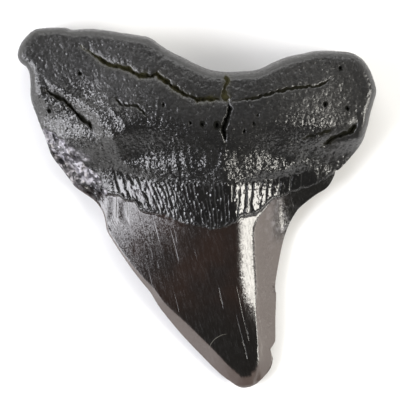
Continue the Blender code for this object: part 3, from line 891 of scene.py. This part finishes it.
def fossil_finish():
    """Black dentine with a grainy satin root, and dark brown enamel, scratched and polished."""
    material = bpy.data.materials.new("fossil_dentine_and_enamel")
    material.use_nodes = True
    tree = material.node_tree
    shader = tree.nodes["Principled BSDF"]
    bench = FinishBench(tree)
    sand, _ = bench.grains(SAND_SIZE)
    chips, chip_shade = bench.grains(CHIP_SIZE)
    outputs = {
        "Base Color": fossil_colour(bench, chip_shade),
        "Roughness": fossil_gloss(bench),
        # Painted shade: cracks, pores and grooves also reflect less light
        "Specular IOR Level": bench.blend(bench.cavity_shade, 0.5, 0.08),
        "Normal": fossil_normal(bench, sand, chips),
    }
    for name, socket in outputs.items():
        tree.links.new(socket, shader.inputs[name])
    shader.inputs["IOR"].default_value = 1.6
    return material


class ReliefBench(Bench):
    """The relief's geometry nodes, which read the tree's own sizes and the marks on the mesh."""

    def __init__(self, tree):
        super().__init__(tree)
        self.given = self.add("NodeGroupInput").outputs
        self.place = self.add("GeometryNodeInputPosition").outputs[0]
        self.x, _, self.z = self.split(self.place)

    def mark(self, name):
        """One of the marks that the shape leaves on its vertices."""
        return self.add("GeometryNodeInputNamedAttribute", {"Name": name}, data_type="FLOAT").outputs[0]


def band_grooves(bench):
    """How much of a groove each place of the band is, and how deep the grooves and their flanks go."""
    given, band = bench.given, bench.mark("band")
    stretched = bench.vector("MULTIPLY", bench.place, (1.0, 0.3, 0.3))
    stray = bench.noise(stretched, given["Groove wander"], 2.0, given["Seed"])
    stray = bench.maths("MULTIPLY_ADD", stray, 1.6, -0.8)
    turn = bench.maths("FRACT", bench.plus(bench.mark("grooves"), stray))
    from_groove = bench.times(bench.away(turn, 0.5), 2.0)
    patchy = bench.ramp(bench.noise(stretched, given["Groove length"], 1.0, 5.0), 0.38, 0.52)
    groove = bench.times(bench.ramp(from_groove, 0.75, 0.95), bench.times(band, patchy))
    flanks = bench.times(bench.maths("POWER", from_groove, 2.0), bench.times(band, 0.14))
    shallow = bench.ramp(bench.away(bench.x, BAND_MIDDLE), *SHALLOW_REACH, 0.15, 1.0)
    depth = bench.times(given["Groove depth"], shallow)
    depth = bench.times(depth, bench.ramp(bench.x, 20 * MM, 26 * MM, 1.0, 0.3))
    return groove, bench.times(bench.plus(groove, flanks), depth)


def grain_and_pits(bench):
    """Height of the root's grain and small pits, all over it but where it rests on the table."""
    given = bench.given
    off_table = bench.ramp(bench.z, 0.4 * MM, 2.5 * MM)
    root = bench.times(bench.minus(1.0, bench.mark("enamel")), off_table)
    lumps = bench.minus(bench.noise(bench.place, given["Grain size"], 1.0, 11.0), 0.5)
    grain = bench.times(bench.times(lumps, root), given["Grain depth"])
    from_pit = bench.cells(bench.place, bench.one_over(given["Pit spacing"]))["Distance"]
    pit = bench.times(bench.ramp(from_pit, 0.28, 0.1), bench.times(root, given["Pit depth"]))
    return grain, pit


def relief_tree(material):
    """Geometry nodes for what repeats: the band's grooves, and the root's grain and small pits."""
    tree = bpy.data.node_groups.new("fine_relief", "GeometryNodeTree")
    face = tree.interface
    face.new_socket("Geometry", in_out="OUTPUT", socket_type="NodeSocketGeometry")
    face.new_socket("Geometry", in_out="INPUT", socket_type="NodeSocketGeometry")
    for name, value in RELIEF_SIZES.items():
        face.new_socket(name, in_out="INPUT", socket_type="NodeSocketFloat").default_value = value
    bench = ReliefBench(tree)
    groove, cut = band_grooves(bench)
    grain, pit = grain_and_pits(bench)
    rise = bench.minus(bench.minus(grain, cut), pit)
    outwards = bench.add("GeometryNodeInputNormal").outputs[0]
    shift = {"Geometry": bench.given["Geometry"], "Offset": bench.scaled(outwards, rise)}
    moved = bench.add("GeometryNodeSetPosition", shift).outputs[0]
    # The groove mark, which the finish paints with shade
    mark = {"Geometry": moved, "Name": "groove", "Value": groove}
    marked = bench.add("GeometryNodeStoreNamedAttribute", mark, data_type="FLOAT").outputs[0]
    real = bench.add("GeometryNodeRealizeInstances", {"Geometry": marked}).outputs[0]
    painted = bench.add("GeometryNodeSetMaterial", {"Geometry": real, "Material": material}).outputs[0]
    bench.add("NodeGroupOutput", {"Geometry": painted})
    return tree


def settle(piece, tree):
    """The piece with its geometry nodes worked into a plain mesh."""
    modifier = piece.modifiers.new("relief", "NODES")
    modifier.node_group = tree
    graph = bpy.context.evaluated_depsgraph_get()
    finished = bpy.data.meshes.new_from_object(piece.evaluated_get(graph))
    piece.modifiers.remove(modifier)
    piece.data = finished
    return piece


# Studio -----------------------------------------------------------------------------------------


def table_top():
    """A plain pale table top."""
    mesh = bpy.data.meshes.new("table_top")
    corners = [(x * TABLE_HALF, y * TABLE_HALF, 0) for x, y in ((-1, -1), (1, -1), (1, 1), (-1, 1))]
    mesh.from_pydata(corners, [], [(0, 1, 2, 3)])
    table = bpy.data.objects.new("table_top", mesh)
    bpy.context.collection.objects.link(table)
    paint = bpy.data.materials.new("white_table")
    paint.use_nodes = True
    shader = paint.node_tree.nodes["Principled BSDF"]
    shader.inputs["Base Color"].default_value = TABLE_WHITE
    shader.inputs["Roughness"].default_value = 0.9
    mesh.materials.append(paint)


def softbox(name, radiance, colour, zenith, azimuth, distance, width, length):
    """A rectangular softbox aimed at the tooth. azimuth 0 is +X; angles are in degrees."""
    light = bpy.data.lights.new(name, "AREA")
    light.shape = "RECTANGLE"
    light.size, light.size_y = width, length
    light.energy = radiance * math.pi * width * length
    light.color = colour
    lamp = bpy.data.objects.new(name, light)
    tilt, turn = math.radians(zenith), math.radians(azimuth)
    lamp.location = (
        distance * math.sin(tilt) * math.cos(turn),
        distance * math.sin(tilt) * math.sin(turn),
        distance * math.cos(tilt),
    )
    lamp.rotation_euler = (0, tilt, turn)
    bpy.context.collection.objects.link(lamp)


def surroundings():
    """A soft grey room: dim overhead, lighter beyond the root, and light low down except in front."""
    world = bpy.data.worlds.new("studio")
    bpy.context.scene.world = world
    world.use_nodes = True
    tree = world.node_tree
    bench = Bench(tree)
    to_right, to_root, height = bench.split(bench.add("ShaderNodeTexCoord").outputs["Generated"])
    sides = bench.ramp(to_right, -0.8, 0.8, 3.2, 1.3, "LINEAR")
    low = bench.times(bench.ramp(height, 0.34, 0.1), sides)
    aside = bench.times(bench.maths("ABSOLUTE", to_right), 0.9)
    to_front = bench.minus(bench.times(to_root, -1.0), aside)
    low = bench.times(low, bench.ramp(to_front, 0.1, 0.4, 1.0, 0.12))
    middle = bench.ramp(height, 0.95, 0.6, 0.13, 0.28)
    middle = bench.times(middle, bench.ramp(to_root, -0.5, 0.6, 0.5, 2.2, "LINEAR"))
    background = tree.nodes["Background"]
    background.inputs["Color"].default_value = ROOM_WHITE
    tree.links.new(bench.plus(low, middle), background.inputs["Strength"])


def camera():
    """Straight down on the tooth, from far enough to see it almost without perspective."""
    lens = bpy.data.cameras.new("overhead")
    lens.sensor_width = 36
    lens.lens = 360
    lens.clip_end = 20
    rig = bpy.data.objects.new("overhead", lens)
    rig.location = CAMERA_PLACE
    bpy.context.collection.objects.link(rig)
    bpy.context.scene.camera = rig


finish = fossil_finish()
tooth = settle(base_tooth(), relief_tree(finish))
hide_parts("tooth")
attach(tooth, "root")

table_top()
for box in SOFTBOXES:
    softbox(*box)
surroundings()
camera()
bpy.context.scene.view_settings.view_transform = "Standard"
